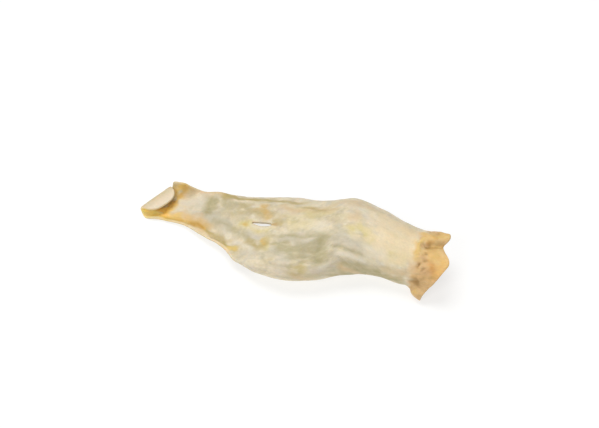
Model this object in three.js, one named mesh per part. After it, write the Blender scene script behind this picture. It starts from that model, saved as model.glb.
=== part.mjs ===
// A dried goat ear lying with its back up. The thin leaf of the ear is folded back over itself at the
// tip, runs on as a shallow trough, widens into an arch with an ear-tag slit in it, and rolls up into
// a closed tube that flares at the cut base.
// Millimetres. x runs along the ear from the folded tip to the base, the near margin is on the -y
// side, and z is up. v runs across the leaf, from -1 at the near margin to 1 at the far margin.
import * as THREE from "three";

// Driving sizes of the leaf
const LENGTH = 157;
const LEAF_THICK = 1.7;
const MARGIN_THIN = 0.3;
const MARGIN_POWER = 8;
const EDGE_BULGE = 0.4;
const REST_CUT = 0.65;
const SKIN_COLOR = 0xd9cca6;

// The tip is folded over: where the fold starts, its radius and turn, and where the flap ends
const FOLD_X = 2.6;
const ROLL_RADIUS = 2.7;
const ROLL_TURN = radians(186);
const APEX_X = -11.5;
const APEX_WIDTH = 0.08;

// The trough near the tip: height of its floor, how far the near side falls away, its half widths,
// and the degrees by which each margin turns up on its lip radius
const NEAR_LIP_RADIUS = 5.5;
const FAR_LIP_RADIUS = 6.5;
const LIP_START = -3;
const NEAR_LIP_RISE = 6;
const FAR_LIP_RISE = 0.4;
const DROP_SHARE = 0.75;
const TROUGH = [
  { x: -0.8, floor: 1.6, drop: 0, near: 10.4, far: 8.8, nearLip: 50, farLip: 35 },
  { x: 3, floor: 1.6, drop: 0, near: 11.6, far: 11.8, nearLip: 50, farLip: 61.6 },
  { x: 4, floor: 1.6, drop: 0.1, near: 12.6, far: 16.6, nearLip: 48, farLip: 104 },
  { x: 7, floor: 1.6, drop: 0.1, near: 13.4, far: 16.2, nearLip: 48, farLip: 99 },
  { x: 12, floor: 1.7, drop: 0.3, near: 12, far: 13.8, nearLip: 42, farLip: 78 },
  { x: 20, floor: 2.9, drop: 0.9, near: 11.3, far: 12.6, nearLip: 34, farLip: 48 },
  { x: 30, floor: 5.6, drop: 2, near: 13.2, far: 13.8, nearLip: 33, farLip: 30 },
  { x: 40, floor: 8.4, drop: 3.7, near: 15.2, far: 15.4, nearLip: 32, farLip: 16 },
  { x: 50, floor: 11.1, drop: 5.5, near: 19.4, far: 18, nearLip: 28, farLip: 6 },
  { x: 62, floor: 13.5, drop: 7, near: 25.6, far: 21, nearLip: 24, farLip: 0 },
];

// The arch and the tube: half widths, half height, and the degrees that each side sweeps round
const ARCH = [
  { x: 30, near: 16, far: 14, top: 5.2, nearSweep: 80, farSweep: 80 },
  { x: 50, near: 20, far: 21.2, top: 8, nearSweep: 92, farSweep: 88 },
  { x: 68, near: 24.2, far: 26, top: 11, nearSweep: 140, farSweep: 96 },
  { x: 84, near: 26.6, far: 24.6, top: 13.1, nearSweep: 162, farSweep: 122 },
  { x: 98, near: 26.6, far: 22.6, top: 13.8, nearSweep: 170, farSweep: 155 },
  { x: 110, near: 22.4, far: 22.2, top: 14.4, nearSweep: 176, farSweep: 174 },
  { x: 122, near: 16, far: 20.8, top: 14, nearSweep: 177.4, farSweep: 177.4 },
  { x: 134, near: 14.8, far: 17.6, top: 12.9, nearSweep: 177.4, farSweep: 177.4 },
  { x: 146, near: 15.6, far: 15.2, top: 12.1, nearSweep: 177.4, farSweep: 177.4 },
  { x: 158, near: 16.6, far: 14.4, top: 11.9, nearSweep: 177.4, farSweep: 177.4 },
];
const NEAR_BLEND = { from: 40, to: 66 };
const FAR_BLEND = { from: 30, to: 62 };

// The ear's spine: sideways place, and the degrees by which its sections yaw and tilt
const SPINE = [
  { x: 2.6, y: 9.4, yaw: -33, tilt: 7 },
  { x: 16, y: 9.2, yaw: -20, tilt: 6 },
  { x: 30, y: 5.2, yaw: -8, tilt: 4 },
  { x: 50, y: -2, yaw: 0, tilt: 0 },
  { x: 68, y: -7.6, yaw: 0, tilt: 0 },
  { x: 84, y: -7.6, yaw: 0, tilt: 0 },
  { x: 96, y: -4.6, yaw: 0, tilt: 0 },
  { x: 108, y: -0.6, yaw: 0, tilt: 0 },
  { x: 122, y: -2.6, yaw: 0, tilt: 0 },
  { x: 140, y: -5, yaw: 0, tilt: 0 },
  { x: 158, y: -5, yaw: 0, tilt: 0 },
];

// The hollow inside narrows to a thin seam where the base is solid
const HOLLOW_NARROWS = 108;
const HOLLOW_CLOSED = 138;
const SEAM_HALF = 0.6;
const SEAM_TURN = 0.12;

// The rim of the base flares past its neck in lobes, round a sunken core
const NECK_X = 141;
const RIM_BACK = -4.6;
const CORE_DEPTH = 8;
const CORE_RINGS = [0.06, 0.14, 0.3, 0.6];
const RIM_WALL = { from: 0.05, to: 0.42 };
const LOBES = [
  { v: -0.72, half: 0.09, flare: 0.33, reach: -1 },
  { v: -0.24, half: 0.23, flare: 0.06, reach: 10 },
  { v: 0.12, half: 0.08, flare: 0.05, reach: 5.4 },
  { v: 0.34, half: 0.2, flare: 0.03, reach: 2.2 },
  { v: 0.75, half: 0.2, flare: 0.1, reach: 3 },
];

// The ear-tag slit, in a thinner patch of the leaf
const SLIT_X = 65;
const SLIT_HALF = 5.8;
const SLIT_OPEN = 1.3;
const SLIT_V = -0.07;
const SLIT_SPREAD = 0.1;
const SLIT_PATCH = { along: 9, across: 6, thinner: 0.45 };

// Dents in the leaf: middle, half length, half width across it, and depth
const DENTS = [
  { x: 30.5, v: 0.25, along: 6, across: 5, depth: 1.1 },
  { x: 98, v: -0.27, along: 9, across: 6, depth: 1.5 },
  { x: 110, v: -0.42, along: 6, across: 7, depth: 0.9 },
  { x: 80, v: -0.48, along: 12, across: 3.5, depth: 0.5 },
];

// Rows along the ear and columns across it, each stretch as from, to and count
const ROWS = [
  [APEX_X, FOLD_X, 13],
  [FOLD_X, 4, 4],
  [4, 24, 9],
  [24, SLIT_X - SLIT_HALF, 11],
  [SLIT_X - SLIT_HALF, SLIT_X + SLIT_HALF, 6],
  [SLIT_X + SLIT_HALF, NECK_X, 19],
  [NECK_X, LENGTH, 7],
];
const NEAR_COLUMNS = [[-1, SLIT_V, 16]];
const FAR_COLUMNS = [[SLIT_V, 1, 18]];
const STEP = 1e-3;

function radians(degrees) {
  return (degrees * Math.PI) / 180;
}

function clamp01(t) {
  return Math.min(Math.max(t, 0), 1);
}

function smooth(from, to, x) {
  const t = clamp01((x - from) / (to - from));
  return t * t * (3 - 2 * t);
}

function mix(a, b, share) {
  return a + (b - a) * share;
}

// A bell of height 1 at the middle
function bell(distance, half) {
  return Math.exp(-((distance / half) ** 2));
}

// One value of a table of sections at x, on a smooth curve that never overshoots
function along(table, field, x) {
  const last = table.length - 1;
  const at = Math.min(Math.max(x, table[0].x), table[last].x);
  let k = 0;
  while (k < last - 1 && at > table[k + 1].x) k++;
  const slope = (i) => (table[i + 1][field] - table[i][field]) / (table[i + 1].x - table[i].x);
  const tangent = (i) => {
    if (i === 0 || i === last) return 0;
    const before = slope(i - 1);
    const after = slope(i);
    return before * after > 0 ? (2 * before * after) / (before + after) : 0;
  };
  const span = table[k + 1].x - table[k].x;
  const t = (at - table[k].x) / span;
  const value = mix(table[k][field], table[k + 1][field], smooth(0, 1, t));
  return value + span * t * (1 - t) * (tangent(k) * (1 - t) - tangent(k + 1) * t);
}

// Sideways place and height in the trough, whose sides rise on round lips
function trough(x, v) {
  const near = v < 0;
  const flapStart = FOLD_X - ROLL_RADIUS * Math.PI / 2;
  const past = clamp01((flapStart - x) / (flapStart - APEX_X));
  const half = along(TROUGH, near ? "near" : "far", x) * Math.max(Math.sqrt(1 - past ** 2), APEX_WIDTH);
  const rise = smooth(FOLD_X + LIP_START, FOLD_X + (near ? NEAR_LIP_RISE : FAR_LIP_RISE), x);
  const lip = radians(along(TROUGH, near ? "nearLip" : "farLip", x)) * rise;
  const radius = near ? NEAR_LIP_RADIUS : FAR_LIP_RADIUS;
  const flat = half - radius * lip;
  const out = Math.abs(v) * half;
  const turned = Math.max(out - flat, 0) / radius;
  const side = turned > 0 ? flat + radius * Math.sin(turned) : out;
  const fall = near ? along(TROUGH, "drop", x) * smooth(0, DROP_SHARE, -v) : 0;
  return { side: Math.sign(v) * side, height: radius * (1 - Math.cos(turned)) - fall };
}

// Sideways place and height on the arch, an ellipse that each side follows round and under
function arch(x, v) {
  const near = v < 0;
  const angle = Math.abs(v) * radians(along(ARCH, near ? "nearSweep" : "farSweep", x));
  const side = Math.sign(v) * along(ARCH, near ? "near" : "far", x) * Math.sin(angle);
  return { side, height: along(ARCH, "top", x) * (1 + Math.cos(angle)) };
}

// The sum over the lobes of the base of one of their values, at v
function lobes(v, field) {
  return LOBES.reduce((sum, lobe) => sum + lobe[field] * bell(v - lobe.v, lobe.half), 0);
}

// The middle surface of the leaf
function leaf(x, v) {
  const low = trough(x, v);
  const high = arch(x, v);
  const nearShare = smooth(NEAR_BLEND.from, NEAR_BLEND.to, x);
  const farShare = smooth(FAR_BLEND.from, FAR_BLEND.to, x);
  const share = mix(nearShare, farShare, smooth(-1, 1, v));
  const floor = along(TROUGH, "floor", x);
  let side = mix(low.side, high.side, share);
  let z = mix(floor + low.height, high.height, share);
  const yaw = radians(along(SPINE, "yaw", x));
  const tilt = radians(along(SPINE, "tilt", x));
  let spineX = x;
  let spineY = along(SPINE, "y", x);
  if (x < FOLD_X) {
    const run = FOLD_X - x;
    const angle = Math.min(run / ROLL_RADIUS, ROLL_TURN);
    const rest = Math.max(run - ROLL_RADIUS * ROLL_TURN, 0);
    const reach = ROLL_RADIUS - (z - floor);
    const back = reach * Math.sin(angle) + rest * Math.cos(ROLL_TURN);
    z = floor + ROLL_RADIUS - reach * Math.cos(angle) + rest * Math.sin(ROLL_TURN);
    spineX = FOLD_X - back * Math.cos(yaw);
    spineY -= back * Math.sin(yaw);
  }
  const height = z - floor;
  z += side * Math.sin(tilt) + height * (Math.cos(tilt) - 1);
  side = side * Math.cos(tilt) - height * Math.sin(tilt);
  const p = new THREE.Vector3(spineX - side * Math.sin(yaw), spineY + side * Math.cos(yaw), z);
  const flared = smooth(NECK_X, LENGTH, x);
  const grow = flared * lobes(v, "flare");
  p.x += flared * (RIM_BACK + lobes(v, "reach"));
  p.y += (p.y - spineY) * grow;
  p.z += (p.z - along(ARCH, "top", x)) * grow;
  return p;
}

// The direction out of the leaf's back
function outwards(x, v) {
  const alongEar = leaf(x + STEP, v).sub(leaf(x - STEP, v));
  const across = leaf(x, Math.min(v + STEP, 1)).sub(leaf(x, Math.max(v - STEP, -1)));
  return alongEar.cross(across).normalize();
}

// Millimetres across the leaf for one unit of v, at the crown
function crownWidth(x) {
  return along(ARCH, "near", x) * radians(along(ARCH, "nearSweep", x));
}

function dented(x, v) {
  const depth = (dent) => {
    const across = (v - dent.v) * crownWidth(dent.x);
    return dent.depth * bell(x - dent.x, dent.along) * bell(across, dent.across);
  };
  return DENTS.reduce((sum, dent) => sum + depth(dent), 0);
}

function thickness(x, v) {
  const across = (v - SLIT_V) * crownWidth(SLIT_X);
  const patch = bell(x - SLIT_X, SLIT_PATCH.along) * bell(across, SLIT_PATCH.across);
  return LEAF_THICK * (1 - SLIT_PATCH.thinner * patch) * (1 - MARGIN_THIN * v ** MARGIN_POWER);
}

// A point on the back of the leaf
function back(x, v) {
  const out = thickness(x, v) / 2 - dented(x, v);
  return leaf(x, v).addScaledVector(outwards(x, v), out);
}

// A point on the inner face, which draws in to the seam where the base is solid
function inside(x, v) {
  const out = -thickness(x, v) / 2 - dented(x, v);
  const p = leaf(x, v).addScaledVector(outwards(x, v), out);
  const top = along(ARCH, "top", x);
  const turn = Math.min(Math.max(v / SEAM_TURN, -1), 1);
  const seam = new THREE.Vector3(
    x - CORE_DEPTH * smooth(NECK_X, LENGTH, x),
    along(SPINE, "y", x) + SEAM_HALF * turn,
    mix(top, LEAF_THICK / 2, Math.abs(v)),
  );
  return p.lerp(seam, smooth(HOLLOW_NARROWS, HOLLOW_CLOSED, x));
}

// The round edge of the leaf, halfway between its faces, which bulges away from the inner place
function edge(x, v, innerX, innerV) {
  const out = leaf(x, v).sub(leaf(innerX, innerV)).normalize();
  const middle = back(x, v).lerp(inside(x, v), 0.5);
  return middle.addScaledVector(out, thickness(x, v) * EDGE_BULGE);
}

// Values that run through stretches of from, to and count
function spread(stretches) {
  const values = [stretches[0][0]];
  for (const [from, to, count] of stretches) {
    for (let k = 1; k <= count; k++) values.push(mix(from, to, k / count));
  }
  return values;
}

// How far the slit opens at x, in v to each side
function slitOpening(x) {
  const t = (x - SLIT_X) / SLIT_HALF;
  return Math.abs(t) < 1 - STEP ? (SLIT_OPEN * Math.sqrt(1 - t * t)) / crownWidth(SLIT_X) : 0;
}

// The closed mesh is built of chains of points, each in two halves that part at the slit
class EarMesh {
  constructor() {
    this.points = [];
    this.faces = [];
  }

  add(p) {
    this.points.push(p.x, p.y, Math.max(p.z, REST_CUT - LEAF_THICK / 2));
    return this.points.length / 3 - 1;
  }

  band(a, b) {
    for (let k = 0; k + 1 < a.length; k++) {
      this.faces.push(a[k], b[k], b[k + 1], a[k], b[k + 1], a[k + 1]);
    }
  }

  // A band between two chains of different lengths, which share neither end
  zip(a, b) {
    let i = 0;
    let j = 0;
    while (i + 1 < a.length || j + 1 < b.length) {
      if (j + 1 === b.length || (i + 1) / a.length < (j + 1) / b.length) {
        this.faces.push(a[i], b[j], a[i + 1]);
        i++;
      } else {
        this.faces.push(a[i], b[j], b[j + 1]);
        j++;
      }
    }
  }

  // One chain across the leaf at x, of points on the given face
  chain(face, x) {
    const open = slitOpening(x);
    const place = (v, away) => this.add(face(x, v + away * open * bell(v - SLIT_V, SLIT_SPREAD)));
    const near = spread(NEAR_COLUMNS).map((v) => place(v, -1));
    const far = spread(FAR_COLUMNS).slice(1).map((v) => place(v, 1));
    const lip = open > 0 ? place(SLIT_V, 1) : near[near.length - 1];
    return [near, [lip, ...far]];
  }

  chainBands(chains) {
    for (let k = 0; k + 1 < chains.length; k++) {
      this.band(chains[k][0], chains[k + 1][0]);
      this.band(chains[k][1], chains[k + 1][1]);
    }
  }
}

// The sunken end of the base, in rings from the rim to the seam
function coreRing(share) {
  return (x, v) => {
    const rim = back(x, v);
    const core = inside(x, v);
    const p = rim.clone().lerp(core, share);
    p.x = mix(rim.x, core.x, smooth(RIM_WALL.from, RIM_WALL.to, share));
    return p;
  };
}

function earGeometry() {
  const mesh = new EarMesh();
  const xs = spread(ROWS);
  const outer = xs.map((x) => mesh.chain(back, x));
  const inner = xs.map((x) => mesh.chain(inside, x));
  const rings = CORE_RINGS.map((share) => mesh.chain(coreRing(share), LENGTH));
  const tip = mesh.chain((x, v) => edge(x, v, x + STEP, v), APEX_X);
  mesh.chainBands([...outer, ...rings, ...inner.toReversed(), tip, outer[0]]);

  // The rims along the two margins, each with its end at the base sewn to the rings
  const sewRim = (end, edgeV, innerV, sew) => {
    const rim = [end(tip), ...xs.slice(1, -1).map((x) => mesh.add(edge(x, edgeV, x, innerV)))];
    const outerRim = outer.slice(0, -1).map(end);
    const innerRim = inner.slice(0, -1).map(end);
    sew("band", outerRim, rim);
    sew("band", rim, innerRim);
    const closing = [outer.at(-1), ...rings, inner.at(-1)].map(end);
    sew("zip", closing, [outerRim.at(-1), rim.at(-1), innerRim.at(-1)]);
  };
  sewRim((chain) => chain[0][0], -1, -1 + STEP, (kind, a, b) => mesh[kind](a, b));
  sewRim((chain) => chain[1].at(-1), 1, 1 - STEP, (kind, a, b) => mesh[kind](b, a));

  // The walls of the slit
  const beside = (chains) => chains.filter((chain, row) => Math.abs(xs[row] - SLIT_X) <= SLIT_HALF + STEP);
  const nearLip = (chains) => beside(chains).map((chain) => chain[0].at(-1));
  const farLip = (chains) => beside(chains).map((chain) => chain[1][0]);
  mesh.band(nearLip(inner), nearLip(outer));
  mesh.band(farLip(outer), farLip(inner));

  const geometry = new THREE.BufferGeometry();
  geometry.setAttribute("position", new THREE.Float32BufferAttribute(mesh.points, 3));
  geometry.setIndex(mesh.faces);
  geometry.computeVertexNormals();
  return geometry;
}

// The ear stands on the middle of its bounding box's floor
function ear() {
  const geometry = earGeometry();
  geometry.computeBoundingBox();
  const box = geometry.boundingBox;
  geometry.translate(-(box.min.x + box.max.x) / 2, -(box.min.y + box.max.y) / 2, -box.min.z);
  const skin = new THREE.MeshStandardMaterial({ color: SKIN_COLOR, roughness: 0.6, metalness: 0 });
  const mesh = new THREE.Mesh(geometry, skin);
  mesh.name = "ear";
  return mesh;
}

const group = new THREE.Group();
group.add(ear());

export default group;
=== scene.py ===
"""A dried goat ear lying with its back up, on a plain pale floor under soft light.

The leaf of the ear is worked out in the same way as in the CAD part, with closer rows and columns. The
outlines of its flap and of the rim of its base follow the photograph more closely than the part's, and
it gets what the part leaves out: the wrinkles, creases and raised slit of dried skin, its torn base,
and its colours. The shape is worked out in millimetres, with x along the ear from the folded tip to
the base, the near margin on the -y side and z up. v runs across the leaf, from -1 at the near margin
to 1 at the far margin. The mesh is made in metres.
"""

import bpy
import numpy as np
from mathutils import Color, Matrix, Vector


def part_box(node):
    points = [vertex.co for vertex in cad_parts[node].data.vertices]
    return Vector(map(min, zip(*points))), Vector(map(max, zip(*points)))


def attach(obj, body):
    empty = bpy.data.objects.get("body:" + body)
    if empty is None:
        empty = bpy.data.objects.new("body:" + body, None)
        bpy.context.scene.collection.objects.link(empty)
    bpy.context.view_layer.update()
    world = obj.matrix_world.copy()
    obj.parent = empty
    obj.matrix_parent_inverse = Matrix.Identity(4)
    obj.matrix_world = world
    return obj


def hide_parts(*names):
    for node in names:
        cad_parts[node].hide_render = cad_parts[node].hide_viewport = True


MM = 0.001

# Driving sizes of the leaf: how much thinner its margins are and how suddenly, how far its round edge
# bulges as a share of its thickness, and the height of its middle under which the floor cuts it flat.
# Directions are worked out over STEP
LENGTH = 157
LEAF_THICK = 1.7
MARGIN_THIN = 0.3
MARGIN_POWER = 8
EDGE_BULGE = 0.4
REST_CUT = 0.65
STEP = 1e-3

# The tip is folded over: where the fold starts, its radius and turn, where the flap ends, the share of
# its width that is left there, and how full its outline is, where 2 would be an ellipse
FOLD_X = 2.6
ROLL_RADIUS = 2.7
ROLL_TURN = np.radians(186)
APEX_X = -11.5
APEX_WIDTH = 0.08
FLAP_ROUND = 2.8

# The trough near the tip: height of its floor, how far the near side falls away, its half widths,
# and the degrees by which each margin turns up on its lip radius. The lips rise between LIP_START and
# their own RISE, counted from the fold, and the near side has fallen away at DROP_SHARE of its width
NEAR_LIP_RADIUS = 5.5
FAR_LIP_RADIUS = 6.5
LIP_START = -3
NEAR_LIP_RISE = 6
FAR_LIP_RISE = 0.4
DROP_SHARE = 0.75
TROUGH = {
    "x": (-0.8, 3, 4, 7, 12, 20, 30, 40, 50, 62),
    "floor": (1.6, 1.6, 1.6, 1.6, 1.7, 2.9, 5.6, 8.4, 11.1, 13.5),
    "drop": (0, 0, 0.1, 0.1, 0.3, 0.9, 2, 3.7, 5.5, 7),
    "near": (10.4, 11.6, 12.6, 13.4, 12, 11.3, 13.2, 15.2, 19.4, 25.6),
    "far": (8.8, 11.8, 16.6, 16.2, 13.8, 12.6, 13.8, 15.4, 18, 21),
    "near_lip": (50, 50, 48, 48, 42, 34, 33, 32, 28, 24),
    "far_lip": (35, 61.6, 104, 99, 78, 48, 30, 16, 6, 0),
}

# The arch and the tube: half widths, half height, and the degrees that each side sweeps round. Each
# side of the trough turns into the arch along its BLEND
ARCH = {
    "x": (30, 50, 68, 84, 98, 110, 122, 134, 146, 158),
    "near": (16, 20, 24.2, 26.6, 26.6, 22.4, 16, 14.8, 15.6, 16.6),
    "far": (14, 21.2, 26, 24.6, 22.6, 22.2, 20.8, 17.6, 15.2, 14.4),
    "top": (5.2, 8, 11, 13.1, 13.8, 14.4, 14, 12.9, 12.1, 11.9),
    "near_sweep": (80, 92, 140, 162, 170, 176, 177.4, 177.4, 177.4, 177.4),
    "far_sweep": (80, 88, 96, 122, 155, 174, 177.4, 177.4, 177.4, 177.4),
}
NEAR_BLEND = (40, 66)
FAR_BLEND = (30, 62)

# The ear's spine: sideways place, and the degrees by which its sections yaw and tilt
SPINE = {
    "x": (2.6, 16, 30, 50, 68, 84, 96, 108, 122, 140, 158),
    "y": (9.4, 9.2, 5.2, -2, -7.6, -7.6, -4.6, -0.6, -2.6, -5, -5),
    "yaw": (-33, -20, -8, 0, 0, 0, 0, 0, 0, 0, 0),
    "tilt": (7, 6, 4, 0, 0, 0, 0, 0, 0, 0, 0),
}

# The hollow inside narrows to a thin seam where the base is solid. SEAM_HALF is half its thickness, and
# SEAM_TURN is the v where its roof meets its walls
HOLLOW_NARROWS = 108
HOLLOW_CLOSED = 138
SEAM_HALF = 0.6
SEAM_TURN = 0.12

# The rim of the base flares past its neck in lobes, round a core that sinks along RIM_WALL, given as
# shares of the way in. Each lobe has its middle and half width in v, the share by which it widens the
# base, and its reach along the ear
NECK_X = 141
RIM_BACK = -4.6
CORE_DEPTH = 8
CORE_RINGS = 20
RIM_WALL = (0.05, 0.42)
LOBES = (
    {"v": -0.72, "half": 0.09, "flare": 0.33, "reach": -2},
    {"v": -0.23, "half": 0.27, "flare": 0.13, "reach": 7.75},
    {"v": -0.18, "half": 0.09, "flare": 0.04, "reach": 2.5},
    {"v": 0.06, "half": 0.065, "flare": 0.11, "reach": 4.9},
    {"v": 0.14, "half": 0.06, "flare": 0.12, "reach": 2.7},
    {"v": 0.34, "half": 0.2, "flare": 0.03, "reach": 0.4},
    {"v": 0.75, "half": 0.2, "flare": 0.1, "reach": 3},
)

# The ear-tag slit, in a thinner patch of the leaf. The columns make room for it over SLIT_SPREAD in v
SLIT_X = 65
SLIT_HALF = 5.8
SLIT_OPEN = 1.3
SLIT_V = -0.07
SLIT_SPREAD = 0.1
SLIT_PATCH = {"along": 9, "across": 6, "thinner": 0.45}

# Dents in the leaf: middle, half length, half width across it, and depth
DENTS = (
    {"x": 30.5, "v": 0.25, "along": 6, "across": 5, "depth": 1.1},
    {"x": 98, "v": -0.27, "along": 9, "across": 6, "depth": 1.5},
    {"x": 110, "v": -0.42, "along": 6, "across": 7, "depth": 0.9},
    {"x": 80, "v": -0.48, "along": 12, "across": 3.5, "depth": 0.5},
)

# Rows along the ear, each stretch as from, to and count, columns across it, and the points of its round
# edge, as shares of the half turn from back to inner face
ROWS = (
    (APEX_X, APEX_X + 1, 10),
    (APEX_X + 1, FOLD_X, 34),
    (FOLD_X, 24, 38),
    (24, SLIT_X - SLIT_HALF, 46),
    (SLIT_X - SLIT_HALF, SLIT_X + SLIT_HALF, 22),
    (SLIT_X + SLIT_HALF, NECK_X, 88),
    (NECK_X, LENGTH, 34),
)
NEAR_COLUMNS = 72
FAR_COLUMNS = 78
EDGE_TURNS = (0.25, 0.5, 0.75)

# Relief drawn on the skin: height, half width, and the line it follows, as places x, v
RELIEF = (
    # The raised lips of the slit
    (0.4, 1.0, ((58.5, -0.085), (65, -0.112), (71.5, -0.085))),
    (0.6, 1.2, ((58, -0.045), (62, -0.02), (71.5, -0.055))),
    # Long wrinkles that run from the slit towards the waist
    (-0.3, 0.7, ((77, -0.157), (80.8, -0.137), (88.7, -0.147), (93.3, -0.167), (101.8, -0.177))),
    (0.16, 1.3, ((80, -0.19), (88, -0.185), (93, -0.2))),
    (-0.32, 0.7, ((74.2, -0.241), (78.2, -0.219), (81.8, -0.217), (84.9, -0.225), (88, -0.25))),
    (0.16, 1.1, ((75, -0.275), (83, -0.255), (88, -0.28))),
    (-0.28, 0.7, ((87, -0.305), (89.3, -0.297), (93.8, -0.287), (97.8, -0.291))),
    (0.18, 0.9, ((88, -0.32), (97, -0.315))),
    (-0.3, 0.7, ((86, -0.35), (88, -0.343), (92.6, -0.335), (97.4, -0.337))),
    # The pinched hollow and the ridges on both sides of it
    (0.2, 1.3, ((94.4, -0.2), (94.8, -0.28), (94.5, -0.37))),
    (-0.4, 2.2, ((97.6, -0.19), (99.2, -0.251), (98.5, -0.37))),
    (0.22, 1.6, ((103.5, -0.24), (104, -0.3), (103, -0.36))),
    # Folds at the waist, where the leaf closes into a tube
    (-0.4, 0.9, ((105, -0.275), (110.6, -0.299), (112.6, -0.313), (118.2, -0.365))),
    (0.32, 1.4, ((107, -0.349), (111.2, -0.361), (117.1, -0.409), (120.5, -0.431))),
    (-0.32, 1.6, ((106.7, -0.407), (112.6, -0.455), (121.7, -0.479), (133.1, -0.43))),
    (0.24, 1.8, ((106, -0.504), (111.3, -0.518), (118, -0.54))),
    # Soft folds down the belly
    (-0.24, 1.3, ((81, -0.47), (83.6, -0.443), (86.5, -0.419), (89, -0.39))),
    (0.22, 1.6, ((74.5, -0.46), (79.8, -0.42), (84, -0.4))),
    (-0.26, 1.6, ((90.5, -0.387), (91.7, -0.471), (91, -0.54))),
    (0.24, 1.8, ((95, -0.42), (95.8, -0.56))),
    (0.3, 1.8, ((100.5, -0.46), (103.5, -0.431), (106.5, -0.4))),
    # Shallow grooves on the far shoulder
    (-0.22, 1.4, ((112.6, 0.105), (117.8, 0.079), (123, 0.05))),
    (-0.18, 1.1, ((84, 0.21), (93.8, 0.129), (98.3, 0.101), (104, 0.09))),
    (0.14, 2.2, ((84, 0.05), (96, -0.02), (110, 0.02))),
    # The crease where the flap comes out of the fold, and the groove along the near margin
    (-0.3, 0.9, ((8.4, -0.5), (7.8, -0.3), (7.2, 0), (6, 0.3), (5, 0.6))),
    (-0.34, 1.2, ((12, -0.72), (20.4, -0.78), (28, -0.7), (36.8, -0.78), (47, -0.8))),
    (0.25, 1.6, ((43.3, -0.491), (53.7, -0.493), (63.8, -0.409))),
    (-0.2, 1.6, ((36, -0.2), (40.5, -0.237), (49.5, -0.279), (59.6, -0.311))),
    # The base: the rolled tongue and its crease, the ridge along the skin, and the lower lobe's root
    (-1.2, 0.9, ((149, -0.062), (150.5, -0.049), (153.5, -0.035), (155.5, -0.027))),
    (1.2, 2.4, ((149.4, 0.02), (152.4, 0.03), (156.5, 0.08))),
    (1.0, 1.3, ((148.4, 0.07), (146.2, 0.01), (145.6, -0.07), (145.9, -0.139), (145.5, -0.21))),
    (-0.3, 1.1, ((147.4, -0.528), (149.8, -0.483), (153, -0.46))),
    (0.5, 1.4, ((147.4, -0.2), (148, -0.26), (147.8, -0.33))),
)

# Pits and tears in the base: height, half width and place
PITS = (
    (-0.9, 0.6, (146, -0.179)),
    (-0.8, 0.6, (148.8, -0.141)),
    (-0.7, 0.7, (148.7, -0.223)),
    (-0.9, 0.7, (146.9, -0.287)),
    (-0.6, 0.7, (149.1, -0.315)),
    (-0.5, 0.9, (152.2, -0.289)),
    (-0.5, 0.7, (147.5, -0.4)),
    (-0.5, 0.6, (150.2, -0.36)),
    (-0.4, 0.6, (152.8, -0.4)),
)

# Uneven skin made by noise: height, size along the ear and size across it
UNEVEN = (
    {"height": 0.28, "along": 20, "across": 13, "seed": 11},
    {"height": 0.13, "along": 9, "across": 5, "seed": 12},
    {"height": 0.045, "along": 3.6, "across": 2, "seed": 13},
)

# Fine wrinkles made by noise, and where on the skin they are. Each is a valley where its noise changes
# sign, as wide as CREASE_HALF to each side in the noise
WRINKLES = (
    {"height": 0.17, "along": 13, "across": 3.4, "seed": 21},
    {"height": 0.1, "along": 6.5, "across": 1.9, "seed": 22},
)
WRINKLED = {"from": 58, "to": 132, "soft": 16, "v": -0.27, "half": 0.26}
CREASE_HALF = 0.6
CREASE_POWER = 1.5

# The skin is smoother near the tip: the least share of its unevenness, and where that grows to all
QUIET_TIP = {"least": 0.3, "from": 8, "to": 48}

# The flesh of the base is crumpled by these noises. Its core is torn: how much rougher it is, and where
# it is fully so, as shares of the way in
TORN = {"by": 2, "from": 0.2, "to": 0.8}
CRUMPLE = (
    {"height": 0.24, "size": 4.6, "seed": 31},
    {"height": 0.13, "size": 2.3, "seed": 32},
    {"height": 0.06, "size": 1.4, "seed": 33},
)

# The waves of the margins: height, size, and the v that they start from
MARGIN_WAVE = {"height": 0.45, "size": 9, "seed": 41, "from": 0.7}

# Each noise of the shape is a sum of this many waves, whose sizes vary by these shares
WAVES = 40
WAVE_VARIES = (0.7, 1.3)

# Lines drawn on the skin stray by these lengths, over bumps of these sizes
STRAY = {"by": 0.35, "size": 6, "fine_by": 0.12, "fine_size": 2, "seed": 61}

# Stains and patches of painted shade and light have ragged edges: how much their width varies, the
# least share that is left of it, and the sizes of the noise
RAGGED = 0.25
RAGGED_LEAST = 0.4
RAGGED_SIZES = (3.4, 2.6)
RAGGED_SEED = 51

# The far corner of the fold reaches out to the flap: its place and half length along the ear, the v
# that it starts from, and how far it reaches
PEAK = {"x": 3.4, "half": 2.4, "from": 0.55, "reach": -2.1}
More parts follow.
